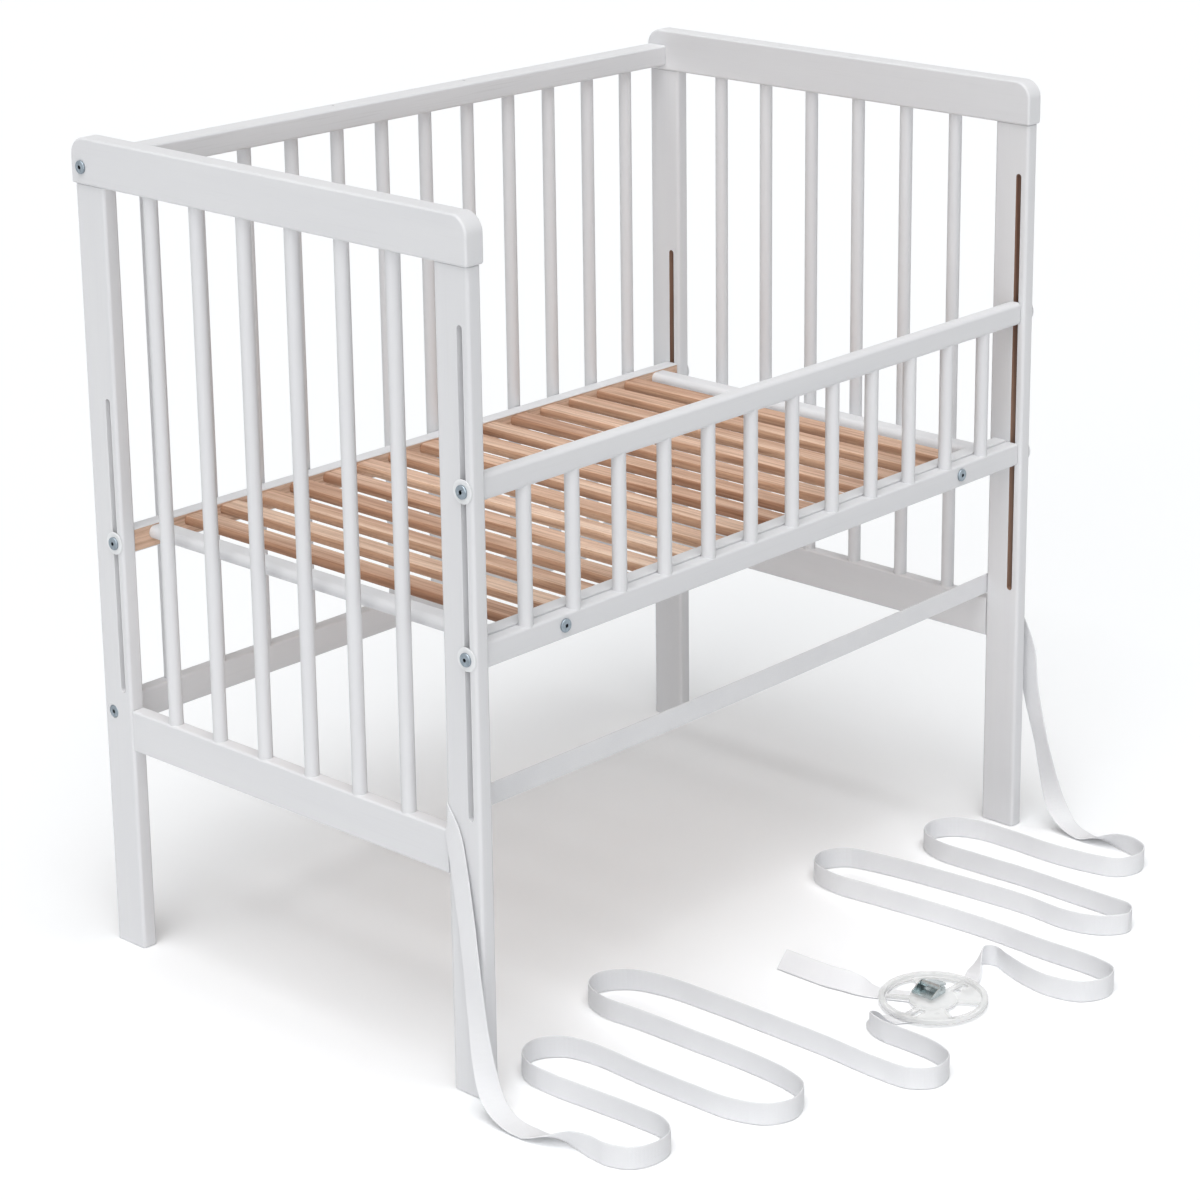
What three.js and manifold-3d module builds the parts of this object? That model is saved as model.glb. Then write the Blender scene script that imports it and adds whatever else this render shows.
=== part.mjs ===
// Bedside crib: two spindle end panels, a spindle back, a low spindle gate that is bolted to a slatted base,
// and a webbing strap with an anchor disc. The base and gate slide together in slots of the four posts.
// Units are millimetres. +X runs along the length, -Y is the gate side and +Z is up.
// The origin is on the floor, in the middle of the crib.

import * as THREE from "three";
import Module from "manifold-3d";
import { mergeVertices } from "three/addons/utils/BufferGeometryUtils.js";

const wasm = await Module();
wasm.setup();

// Overall sizes
const cribLength = 950;
const cribDepth = 604;
const postHeight = 896;
const endRailHeight = 52;

// Clearances
const buttGap = 0.3;
const socketGap = 0.3;
const boltHoleGap = 0.3;
const slideGap = 0.8;
const pocketGap = 0.4;

// Posts and their slots
const postWidth = 48;
const postThickness = 19;
const postEdgeRadius = 4;
const postEndBevel = 0.8;
const slotWidth = 7.5;
const slotInset = 13;
const slotBottom = 312;
const frontSlotTopInset = 60;
const rearSlotTop = 657;

// Top rails of the end panels
const endRailSideOverhang = 3;
const endRailEndOverhang = 2;
const endRailCornerRadius = 28;
const endRailEdgeRadius = 3;

// Bottom rails of the end panels
const endLowRailBottom = 244;
const endLowRailHeight = 49;
const endLowRailThickness = 18;
const endSpindleCount = 6;

// Spindles
const spindleDiameter = 16;
const socketDepth = 12;
const spindleSides = 14;

// Back
const backPlaneInset = 15.5;
const backTopRailRise = 6.5;
const backTopRailHeight = 26;
const backTopRailThickness = 30;
const backLowRailBottom = 267;
const backLowRailHeight = 35;
const backLowRailThickness = 18;
const sideSpindleCount = 12;
const sideSpindleInset = 65.5;
const pilotHoleDiameter = 4;
const pilotHoleDepth = 9;
const pilotHoleSpacing = 214;
const pilotHoleInset = 10.5;

// Gate
const gateRailHeight = 27.5;
const gateRailThickness = 17;
const gateTopRailBottom = 652;
const gateLowRailBottom = 475;
const gateTopRailRadius = 5;

// Slatted base
const baseRailHeight = 28;
const baseRailBottom = 476;
const baseRailThickness = 19;
const slatCount = 15;
const crossBarInset = 36;
const slatWidth = 30;
const slatThickness = 12;
const slatEdgeRadius = 5;
const slatTopBelowRail = 3;
const crossBarWidth = 28;
const crossBarThickness = 15;
const pocketDepth = 10;
const softEdgeRadius = 3;

// Bolts and washers
const boltDiameter = 6;
const boltHeadDiameter = 15;
const boltHeadHeight = 2.2;
const boltHeadBevel = 1.2;
const boltEndBevel = 0.8;
const hexKeyWidth = 4;
const hexKeyDepth = 2.4;
const boltGrip = 19;
const washerDiameter = 26;
const washerThickness = 1.2;
const boltRecessDepth = 2.6;
const gateBoltBay = 1.5;
const baseBoltDepth = 14;

// Webbing strap, anchor disc and its buckle
const webbingWidth = 25;
const webbingThickness = 1.6;
const strapHeight = 312.5;
const strapPostGap = 0.4;
const jointGap = 0.3;
const discX = 8;
const discY = -519;
const discRadius = 61;
const discBottom = 2.8;
const discFloor = 2.4;
const discRimHeight = 6.5;
const discRimWidth = 7;
const discHubRadius = 26;
const discHubHeight = 3;
const discSpokeCount = 6;
const discSpokeWidth = 6;
const discWindows = [0, 1, 2, 4];
const discWindowInset = 1.2;
const discRibWidth = 2.4;
const discRibHeight = 2.9;
const discSlotLength = 22;
const discSlotWidth = 7.5;
const discSlotSpacing = 80;
const discSlotFromMiddle = 8;
const padMargin = 1;
const buckleX = 14;
const buckleY = -507.5;
const buckleLength = 25;
const buckleWidth = 28.4;
const bucklePlate = 1.2;
const buckleWallLow = 3.5;
const buckleWallHigh = 10;
const bucklePinDiameter = 3;
const bucklePinHeight = 7;
const bucklePinFromEnd = 6.5;
const leverTabRadius = 9;
const leverTabThickness = 1.4;
const leverTabReach = 12;
const leverTabSlope = 18;
const leverCamRadius = 3.4;
const leverSideGap = 0.6;

// Values that follow from the sizes above
const halfLength = cribLength / 2;
const halfDepth = cribDepth / 2;
const innerFace = halfLength - postThickness;
const frontPostRear = -halfDepth + postWidth;
const rearPostFront = halfDepth - postWidth;
const frontSlotY = -halfDepth + slotInset;
const frontSlotTop = postHeight - frontSlotTopInset;
const rearSlotY = rearPostFront + slotInset;
const postCentreX = halfLength - postThickness / 2;
const sideSpindlePitch = 2 * (innerFace - sideSpindleInset) / (sideSpindleCount - 1);
const backPlane = halfDepth - backPlaneInset;
const backTopRailBottom = postHeight + backTopRailRise;
const panelOpening = cribDepth - 2 * postWidth;
const endSpindlePitch = (panelOpening + spindleDiameter) / (endSpindleCount + 1);
const spindleTenonTop = postHeight + socketDepth - 1;
const gateTopBolt = gateTopRailBottom + gateRailHeight / 2;
const gateLowBolt = gateLowRailBottom + gateRailHeight / 2;
const baseBolt = baseRailBottom + baseRailHeight / 2;
const gateFront = frontSlotY - gateRailThickness / 2;
const gateRear = frontSlotY + gateRailThickness / 2;
const baseFrontRailFront = gateRear + buttGap;
const baseFrontRailRear = baseFrontRailFront + baseRailThickness;
const baseRearRailFront = rearSlotY - baseRailThickness / 2;
const slatTop = baseRailBottom + baseRailHeight - slatTopBelowRail;
const backTopBolt = backTopRailBottom + backTopRailHeight / 2;
const backLowBolt = backLowRailBottom + backLowRailHeight / 2;
const slidingHalfLength = innerFace - slideGap;
const crossBarX = innerFace - crossBarInset;
const slatPitch = 2 * crossBarX / (slatCount + 1);
const gateBoltX = crossBarX - gateBoltBay * slatPitch;
const washerStack = buttGap + washerThickness + buttGap;

// Materials
const paint = new THREE.MeshStandardMaterial({ color: 0xe9eaec, roughness: 0.42, metalness: 0 });
const beech = new THREE.MeshStandardMaterial({ color: 0xc9a588, roughness: 0.62, metalness: 0 });
const zinc = new THREE.MeshStandardMaterial({ color: 0x9aa7b2, roughness: 0.34, metalness: 1 });
const whitePlastic = new THREE.MeshStandardMaterial({ color: 0xeef0f1, roughness: 0.4, metalness: 0 });
const clearPlastic = new THREE.MeshStandardMaterial({ color: 0xdfe3e2, roughness: 0.25, metalness: 0 });
const webbing = new THREE.MeshStandardMaterial({ color: 0xe4e5e9, roughness: 0.85, metalness: 0 });
const steel = new THREE.MeshStandardMaterial({ color: 0x6f7a7e, roughness: 0.3, metalness: 1 });

// Solids
function solid(geometry) {
  const bare = geometry.clone();
  bare.deleteAttribute("normal");
  bare.deleteAttribute("uv");
  const merged = mergeVertices(bare, 1e-4);
  return new wasm.Manifold(new wasm.Mesh({
    numProp: 3,
    vertProperties: new Float32Array(merged.attributes.position.array),
    triVerts: new Uint32Array(merged.index.array),
  }));
}

function geometryOf(manifold) {
  const mesh = manifold.getMesh();
  const geometry = new THREE.BufferGeometry();
  geometry.setAttribute("position", new THREE.Float32BufferAttribute(mesh.vertProperties, 3));
  geometry.setIndex(Array.from(mesh.triVerts));
  geometry.computeVertexNormals();
  return geometry;
}

function cut(body, tools) {
  return tools.reduce((result, tool) => result.subtract(tool), body);
}

function join(body, pieces) {
  return pieces.reduce((result, piece) => result.add(piece), body);
}

// Outlines. A bar along X is drawn in (y, z), one along Y in (z, x) and one along Z in (x, y).
const sweepBasis = {
  x: new THREE.Matrix4().makeBasis(
    new THREE.Vector3(0, 1, 0), new THREE.Vector3(0, 0, 1), new THREE.Vector3(1, 0, 0)),
  y: new THREE.Matrix4().makeBasis(
    new THREE.Vector3(0, 0, 1), new THREE.Vector3(1, 0, 0), new THREE.Vector3(0, 1, 0)),
  z: new THREE.Matrix4(),
};

function roundedRectangle(u0, v0, u1, v1, radii, steps = 2) {
  const radiusOf = Array.isArray(radii) ? radii : [radii, radii, radii, radii];
  const corners = [[u0, v0, 1, 1], [u1, v0, -1, 1], [u1, v1, -1, -1], [u0, v1, 1, -1]];
  const points = [];
  corners.forEach(([u, v, su, sv], i) => {
    const r = radiusOf[i];
    for (let k = 0; k <= steps; k += 1) {
      const angle = Math.PI * (1 + i / 2 + k / steps / 2);
      const point = new THREE.Vector2(
        u + su * r + r * Math.cos(angle), v + sv * r + r * Math.sin(angle));
      if (!points.some((other) => other.distanceTo(point) < 1e-4)) points.push(point);
    }
  });
  return new THREE.Shape(points);
}

function sweep(shape, axis, from, to, steps, bevel = 0, bevelSteps = 2) {
  const geometry = new THREE.ExtrudeGeometry(shape, {
    depth: to - from - 2 * bevel,
    curveSegments: steps,
    bevelEnabled: bevel > 0,
    bevelThickness: bevel,
    bevelSize: bevel,
    bevelOffset: -bevel,
    bevelSegments: bevelSteps,
  });
  geometry.translate(0, 0, from + bevel);
  geometry.applyMatrix4(sweepBasis[axis]);
  return solid(geometry);
}

function bar(axis, from, to, u0, v0, u1, v1, radius) {
  return sweep(roundedRectangle(u0, v0, u1, v1, radius, 2), axis, from, to, 1);
}

function block(x0, x1, y0, y1, z0, z1) {
  const geometry = new THREE.BoxGeometry(x1 - x0, y1 - y0, z1 - z0);
  geometry.translate((x0 + x1) / 2, (y0 + y1) / 2, (z0 + z1) / 2);
  return solid(geometry);
}

function rod(axis, x, y, z, length, diameter, sides) {
  const geometry = new THREE.CylinderGeometry(diameter / 2, diameter / 2, length, sides);
  if (axis === "x") geometry.rotateZ(Math.PI / 2);
  if (axis === "z") geometry.rotateX(Math.PI / 2);
  geometry.translate(x, y, z);
  return solid(geometry);
}

// Places along a row, in the middle of the crib
function row(count, pitch) {
  return Array.from({ length: count }, (_, i) => (i - (count - 1) / 2) * pitch);
}

const group = new THREE.Group();

function add(name, shape, material) {
  const geometry = shape.isBufferGeometry ? shape : geometryOf(shape);
  const mesh = new THREE.Mesh(geometry, material);
  mesh.name = name;
  group.add(mesh);
  return mesh;
}

// A bolt with a low round head and a hex key recess. The head's seat is at z = 0 and the shank points down.
function boltSolid(shankLength) {
  const radius = boltHeadDiameter / 2;
  const profile = [
    [0, -shankLength],
    [boltDiameter / 2 - boltEndBevel, -shankLength],
    [boltDiameter / 2, -shankLength + boltEndBevel],
    [boltDiameter / 2, 0],
    [radius, 0],
    [radius, boltHeadHeight - boltHeadBevel / 2],
    [radius - boltHeadBevel, boltHeadHeight],
    [0, boltHeadHeight],
  ].map(([r, h]) => new THREE.Vector2(r, h));
  const body = new THREE.LatheGeometry(profile, 12);
  body.rotateX(Math.PI / 2);
  const keyRadius = hexKeyWidth / Math.sqrt(3);
  const key = new THREE.CylinderGeometry(keyRadius, keyRadius, 2 * hexKeyDepth, 6);
  key.rotateX(Math.PI / 2);
  key.translate(0, 0, boltHeadHeight);
  return cut(solid(body), [solid(key)]);
}

function addBolt(name, shankLength, seat, direction) {
  const mesh = add(name, boltSolid(shankLength), zinc);
  mesh.quaternion.setFromUnitVectors(new THREE.Vector3(0, 0, 1), new THREE.Vector3(...direction));
  mesh.position.set(...seat);
}

function addWasher(name, side, y, z) {
  const ring = new THREE.Shape();
  ring.absarc(y, z, washerDiameter / 2, 0, Math.PI * 2, false);
  const hole = new THREE.Path();
  hole.absarc(y, z, boltDiameter / 2 + boltHoleGap, 0, Math.PI * 2, true);
  ring.holes.push(hole);
  const inner = halfLength + buttGap;
  const outer = inner + washerThickness;
  add(name, sweep(ring, "x", side > 0 ? inner : -outer, side > 0 ? outer : -inner, 10), whitePlastic);
}

function boltHole(side, y, z, from, to) {
  const middle = side * (from + to) / 2;
  return rod("x", middle, y, z, to - from, boltDiameter + 2 * boltHoleGap, 12);
}

// Posts: the edges are softened all round, and a slot with round ends runs through each
function addPost(name, side, front) {
  const y0 = front ? -halfDepth : rearPostFront;
  const y1 = front ? frontPostRear : halfDepth;
  const low = Math.min(side * innerFace, side * halfLength);
  const high = low + postThickness;
  const outline = roundedRectangle(low, y0, high, y1, postEdgeRadius, 4);
  const body = sweep(outline, "z", 0, postHeight - buttGap, 1, postEndBevel, 1);
  const slotY = front ? frontSlotY : rearSlotY;
  const slotTop = front ? frontSlotTop : rearSlotTop;
  const half = slotWidth / 2;
  const slot = roundedRectangle(slotY - half, slotBottom, slotY + half, slotTop, half, 5);
  const tools = [sweep(slot, "x", low - 1, high + 1, 1)];
  if (!front) {
    tools.push(boltHole(side, backPlane, backLowBolt, innerFace - 1, halfLength + 1));
    const recess = boltHeadDiameter + 2 * boltHoleGap;
    const middle = side * (halfLength - boltRecessDepth / 2 + 0.5);
    tools.push(rod("x", middle, backPlane, backLowBolt, boltRecessDepth + 1, recess, 16));
  }
  add(name, cut(body, tools), paint);
}

// Top rail of an end panel: it lies on both posts and takes the ends of the spindles
function addEndTopRail(name, side) {
  const end = halfDepth + endRailEndOverhang;
  const top = postHeight + endRailHeight;
  const small = 7;
  const large = endRailCornerRadius;
  const outline = roundedRectangle(-end, postHeight, end, top, [small, small, large, large], 6);
  const low = Math.min(side * (innerFace - endRailSideOverhang), side * (halfLength + endRailSideOverhang));
  const high = low + postThickness + 2 * endRailSideOverhang;
  const body = sweep(outline, "x", low, high, 1, endRailEdgeRadius, 2);
  const sockets = row(endSpindleCount, endSpindlePitch).map((y) => rod("z", side * postCentreX, y,
    postHeight + socketDepth / 2 - 0.5, socketDepth + 1, spindleDiameter + 2 * socketGap, spindleSides));
  const from = innerFace - endRailSideOverhang - 1;
  const bolt = boltHole(side, backPlane, backTopBolt, from, halfLength + endRailSideOverhang + 1);
  add(name, cut(body, [...sockets, bolt]), paint);
}

// Bottom rail of an end panel with its six spindles, which are glued into it
function addEndLowRail(name, side) {
  const end = panelOpening / 2 - buttGap;
  const top = endLowRailBottom + endLowRailHeight;
  const inner = side * postCentreX - endLowRailThickness / 2;
  const outer = side * postCentreX + endLowRailThickness / 2;
  const rail = bar("y", -end, end, endLowRailBottom, inner, top, outer, softEdgeRadius);
  const foot = top - socketDepth;
  const length = spindleTenonTop - foot;
  const spindles = row(endSpindleCount, endSpindlePitch).map((y) =>
    rod("z", side * postCentreX, y, foot + length / 2, length, spindleDiameter, spindleSides));
  add(name, join(rail, spindles), paint);
}

for (const [side, label] of [[-1, "left"], [1, "right"]]) {
  addPost(`${label}_front_post`, side, true);
  addPost(`${label}_rear_post`, side, false);
  addEndTopRail(`${label}_end_top_rail`, side);
  addEndLowRail(`${label}_end_bottom_rail`, side);
}

// A rail along X with a row of sockets in its underside for the twelve long-side spindles
function socketedRail(halfSpan, y0, y1, z0, z1, plane, radius) {
  const rail = bar("x", -halfSpan, halfSpan, y0, z0, y1, z1, radius);
  const sockets = row(sideSpindleCount, sideSpindlePitch).map((x) => rod("z", x, plane,
    z0 + socketDepth / 2 - 0.5, socketDepth + 1, spindleDiameter + 2 * socketGap, spindleSides));
  return cut(rail, sockets);
}

// A rail along X with the spindles of its long side glued into it
function spindledRail(halfSpan, y0, y1, z0, z1, plane, spindleTop, radius) {
  const rail = bar("x", -halfSpan, halfSpan, y0, z0, y1, z1, radius);
  const foot = z1 - socketDepth;
  const length = spindleTop - foot;
  const spindles = row(sideSpindleCount, sideSpindlePitch).map((x) =>
    rod("z", x, plane, foot + length / 2, length, spindleDiameter, spindleSides));
  return join(rail, spindles);
}

// Back: both rails are bolted through the ends, the top one through the end panels' top rails
const backTopSpan = innerFace - endRailSideOverhang - buttGap;
const backTopFront = backPlane - backTopRailThickness / 2;
const backTopRear = backPlane + backTopRailThickness / 2;
const backTop = backTopRailBottom + backTopRailHeight;
const backTopTools = row(2, pilotHoleSpacing).map((x) => rod("z", x, backTopRear - pilotHoleInset,
  backTop - pilotHoleDepth / 2 + 0.5, pilotHoleDepth + 1, pilotHoleDiameter, 8));
for (const side of [-1, 1]) {
  backTopTools.push(boltHole(side, backPlane, backTopBolt, backTopSpan - boltGrip - 1, backTopSpan + 1));
}
add("back_top_rail", cut(
  socketedRail(backTopSpan, backTopFront, backTopRear, backTopRailBottom, backTop, backPlane, softEdgeRadius),
  backTopTools), paint);

const backLowSpan = innerFace - buttGap;
const backLowTop = backLowRailBottom + backLowRailHeight;
add("back_bottom_rail", cut(
  spindledRail(backLowSpan, backPlane - backLowRailThickness / 2, backPlane + backLowRailThickness / 2,
    backLowRailBottom, backLowTop, backPlane, backTopRailBottom + socketDepth - 1, softEdgeRadius),
  [-1, 1].map((side) => boltHole(side, backPlane, backLowBolt, backLowSpan - boltGrip - 1, backLowSpan + 1)),
), paint);

// Gate: its rails end between the front posts, and bolts through the slots hold both of them
function railEndHoles(y, z) {
  return [-1, 1].map((side) => boltHole(side, y, z, slidingHalfLength - boltGrip, slidingHalfLength + 1));
}

const gateTop = gateTopRailBottom + gateRailHeight;
add("gate_top_rail", cut(
  socketedRail(slidingHalfLength, gateFront, gateRear, gateTopRailBottom, gateTop, frontSlotY,
    gateTopRailRadius),
  railEndHoles(frontSlotY, gateTopBolt)), paint);

const gateLowTop = gateLowRailBottom + gateRailHeight;
const gateBoltHoles = row(2, 2 * gateBoltX).map((x) => rod("y", x, frontSlotY, baseBolt,
  gateRailThickness + 2, boltDiameter + 2 * boltHoleGap, 12));
add("gate_bottom_rail", cut(
  spindledRail(slidingHalfLength, gateFront, gateRear, gateLowRailBottom, gateLowTop, frontSlotY,
    gateTopRailBottom + socketDepth - 1, softEdgeRadius),
  [...railEndHoles(frontSlotY, gateLowBolt), ...gateBoltHoles]), paint);

// Slatted base: slats and cross bars have round long edges, and their ends sit in pockets of the long rails
const slatSection = { width: slatWidth, thickness: slatThickness, radius: slatEdgeRadius };
const crossBarSection = { width: crossBarWidth, thickness: crossBarThickness, radius: crossBarThickness / 2 };

function slatOutline(x, section, offset) {
  const half = section.width / 2 + offset;
  const low = slatTop - section.thickness - offset;
  const high = slatTop + offset;
  return roundedRectangle(low, x - half, high, x + half, section.radius + offset, 3);
}

const slatPlaces = [
  ...row(slatCount, slatPitch).map((x) => [x, slatSection]),
  [-crossBarX, crossBarSection],
  [crossBarX, crossBarSection],
];

function baseRail(front, rear, pocketFrom, pocketTo, extraTools) {
  const rail = bar("x", -slidingHalfLength, slidingHalfLength, front, baseRailBottom, rear,
    baseRailBottom + baseRailHeight, 1.5);
  const pockets = slatPlaces.map(([x, section]) =>
    sweep(slatOutline(x, section, pocketGap), "y", pocketFrom, pocketTo, 1));
  return cut(rail, [...pockets, ...extraTools]);
}

const frontRailHoles = row(2, 2 * gateBoltX).map((x) => rod("y", x,
  baseFrontRailFront + baseBoltDepth / 2 - 0.5, baseBolt, baseBoltDepth + 1,
  boltDiameter + 2 * boltHoleGap, 12));
add("base_front_rail", baseRail(baseFrontRailFront, baseFrontRailRear,
  baseFrontRailRear - pocketDepth, baseFrontRailRear + 1, frontRailHoles), paint);
add("base_rear_rail", baseRail(baseRearRailFront, baseRearRailFront + baseRailThickness,
  baseRearRailFront - 1, baseRearRailFront + pocketDepth, railEndHoles(rearSlotY, baseBolt)), paint);

const slatFront = baseFrontRailRear - pocketDepth + buttGap;
const slatRear = baseRearRailFront + pocketDepth - buttGap;

function slat(x, section) {
  return sweep(slatOutline(x, section, 0), "y", slatFront, slatRear, 1);
}

row(slatCount, slatPitch).forEach((x, i) => {
  add(`slat_${String(i + 1).padStart(2, "0")}`, slat(x, slatSection), beech);
});
add("base_left_cross_bar", slat(-crossBarX, crossBarSection), paint);
add("base_right_cross_bar", slat(crossBarX, crossBarSection), paint);

// Bolts and washers on both outer sides
const slotShank = washerStack + postThickness + slideGap + boltGrip - 1;
const backTopShank = postThickness + 2 * endRailSideOverhang + 2 * buttGap + boltGrip - 1;
const backLowShank = postThickness - boltRecessDepth + 2 * buttGap + boltGrip - 1;
const slotBolts = [
  ["gate_top", frontSlotY, gateTopBolt],
  ["gate_bottom", frontSlotY, gateLowBolt],
  ["base_rear", rearSlotY, baseBolt],
];
for (const [side, label] of [[-1, "left"], [1, "right"]]) {
  for (const [place, y, z] of slotBolts) {
    addWasher(`${label}_${place}_washer`, side, y, z);
    addBolt(`${label}_${place}_bolt`, slotShank, [side * (halfLength + washerStack), y, z], [side, 0, 0]);
  }
  addBolt(`${label}_back_top_bolt`, backTopShank,
    [side * (halfLength + endRailSideOverhang + buttGap), backPlane, backTopBolt], [side, 0, 0]);
  addBolt(`${label}_back_bottom_bolt`, backLowShank,
    [side * (halfLength - boltRecessDepth + buttGap), backPlane, backLowBolt], [side, 0, 0]);
  addBolt(`${label}_gate_to_base_bolt`, gateRailThickness + 2 * buttGap + baseBoltDepth - 1,
    [side * gateBoltX, gateFront - buttGap, baseBolt], [0, -1, 0]);
}

// Webbing: a flat band with softened edges along a route. Each route point holds the place of the band's
// middle and the way its width points.
const bandSection = [
  [-0.5, -0.2], [-0.48, -0.5], [0.48, -0.5], [0.5, -0.2],
  [0.5, 0.2], [0.48, 0.5], [-0.48, 0.5], [-0.5, 0.2],
];

function band(route, stepsPerPoint) {
  const points = route.map(([x, y, z]) => new THREE.Vector3(x, y, z));
  const middle = new THREE.CatmullRomCurve3(points, false, "centripetal");
  const widths = route.map((point) => new THREE.Vector3(point[3], point[4], point[5]).normalize());
  const steps = (route.length - 1) * stepsPerPoint;
  const sides = bandSection.length;
  const positions = [];
  const indices = [];
  for (let i = 0; i <= steps; i += 1) {
    const k = Math.min(Math.floor(i / stepsPerPoint), route.length - 2);
    const across = widths[k].clone().lerp(widths[k + 1], i / stepsPerPoint - k).normalize();
    const normal = middle.getTangent(i / steps).cross(across).normalize();
    const centre = middle.getPoint(i / steps);
    for (const [u, v] of bandSection) {
      const corner = centre.clone()
        .addScaledVector(across, u * webbingWidth)
        .addScaledVector(normal, v * webbingThickness);
      positions.push(corner.x, corner.y, corner.z);
    }
  }
  for (let i = 0; i < steps; i += 1) {
    for (let j = 0; j < sides; j += 1) {
      const a = i * sides + j;
      const b = i * sides + (j + 1) % sides;
      indices.push(a, b, a + sides, b, b + sides, a + sides);
    }
  }
  const last = steps * sides;
  for (let j = 1; j < sides - 1; j += 1) {
    indices.push(0, j + 1, j);
    indices.push(last, last + j, last + j + 1);
  }
  const geometry = new THREE.BufferGeometry();
  geometry.setAttribute("position", new THREE.Float32BufferAttribute(positions, 3));
  geometry.setIndex(indices);
  geometry.computeVertexNormals();
  return geometry;
}

// The strap crosses behind both front posts, above the end panels' bottom rails
const strapY = frontPostRear + strapPostGap + webbingThickness / 2;
const crossingEnd = halfLength - 6;
const crossingDip = 4;
add("strap_crossing", band([
  [-crossingEnd, strapY, strapHeight, 0, 0, 1],
  [-innerFace + 20, strapY + 0.3, strapHeight - 0.5, 0, 0, 1],
  [0, strapY + 2, strapHeight - crossingDip, 0, 0, 1],
  [innerFace - 20, strapY + 0.3, strapHeight - 0.5, 0, 0, 1],
  [crossingEnd, strapY, strapHeight, 0, 0, 1],
], 3), webbing);

// Left strap: round the post's rear edge, down its outer face and over the floor to the disc
const leftRoute = [
  [-crossingEnd - jointGap, strapY, strapHeight, 0, 0, 1],
  [-473, -253.2, 311.8, 0, 0, 1],
  [-475.8, -255.9, 310, 0, -0.05, 1],
  [-476.5, -257.6, 305.5, 0, -0.3, 0.95],
  [-477, -259.5, 301, 0, -0.55, 0.83],
  [-477.4, -264, 292.5, 0, -0.8, 0.6],
  [-478.2, -268.4, 280.4, 0, -0.93, 0.37],
  [-479.4, -274.7, 252.5, 0, -0.98, 0.2],
  [-482, -285.5, 200, 0, -0.98, 0.2],
  [-486, -296, 150, 0, -1, 0.2],
  [-490, -307, 95, 0.15, -1, 0.2],
  [-493.5, -319, 50, 0.5, -0.9, 0.2],
  [-496, -334, 20, 0.9, -0.5, 0],
  [-497, -355, 6, 1, -0.1, 0],
  [-496, -385, 2.2, 1, 0, 0],
  [-492, -415, 7.4, 0.85, 0, -0.5],
  [-489.5, -440, 12.4, 0.35, 0, -0.93],
  [-489, -462, 12.9, 0, 0, -1],
  [-489.5, -487, 12.9, 0, 0, -1],
  [-478, -511, 12.9, 0, 0, -1],
  [-455, -521.5, 12.9, 0, 0, -1],
  [-429, -517.5, 12.9, 0, 0, -1],
  [-413.5, -494, 12.9, 0, 0, -1],
  [-412.5, -455, 12.9, 0, 0, -1],
  [-416, -400, 12.9, 0, 0, -1],
  [-420, -345, 12.9, 0, 0, -1],
  [-416, -302, 12.9, 0, 0, -1],
  [-399, -281, 12.9, 0, 0, -1],
  [-375, -277, 12.9, 0, 0, -1],
  [-352, -295, 12.9, 0, 0, -1],
  [-342.5, -330, 12.9, 0, 0, -1],
  [-343, -400, 12.9, 0, 0, -1],
  [-341.5, -470, 12.9, 0, 0, -1],
  [-338, -520, 12.9, 0, 0, -1],
  [-322, -556, 12.9, 0, 0, -1],
  [-294, -569, 12.9, 0, 0, -1],
  [-264, -556, 12.9, 0, 0, -1],
  [-252.5, -525, 12.9, 0, 0, -1],
  [-248.5, -465, 12.9, 0, 0, -1],
  [-250.5, -390, 12.9, 0, 0, -1],
  [-252.5, -315, 12.9, 0, 0, -1],
  [-255.5, -262, 12.9, 0, 0, -1],
  [-243, -230, 12.9, 0, 0, -1],
  [-218, -220, 12.9, 0, 0, -1],
  [-190, -239, 12.9, 0, 0, -1],
  [-175, -280, 12.9, 0, 0, -1],
  [-170, -350, 12.9, 0, 0, -1],
  [-168.5, -430, 12.9, 0, 0, -1],
  [-168, -510, 12.9, 0, 0, -1],
  [-170.5, -580, 12.9, 0, 0, -1],
  [-166, -620, 12.9, 0, 0, -1],
  [-145, -640, 12.9, 0, 0, -1],
  [-116, -634, 12.9, 0, 0, -1],
  [-102.5, -605, 12.9, 0, 0, -1],
  [-100.5, -560, 12.9, 0, 0, -1],
  [-100.5, -531, 12.9, 0, 0, -1],
  [-93, -509, 12.5, 0, 0, -1],
  [-81.5, -502.5, 10.8, 0, 0.6, -0.8],
  [-70, -503, 4.8, 0, 0.96, -0.28],
  [-59, -508, 1.3, 0.2, 0.98, 0],
  [-46, -516, 1.2, 0.4, 0.9, 0],
  [-32, -525, 1.2, 0.5, 0.85, 0],
];
add("strap_left", band(leftRoute, 2), webbing);

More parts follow.
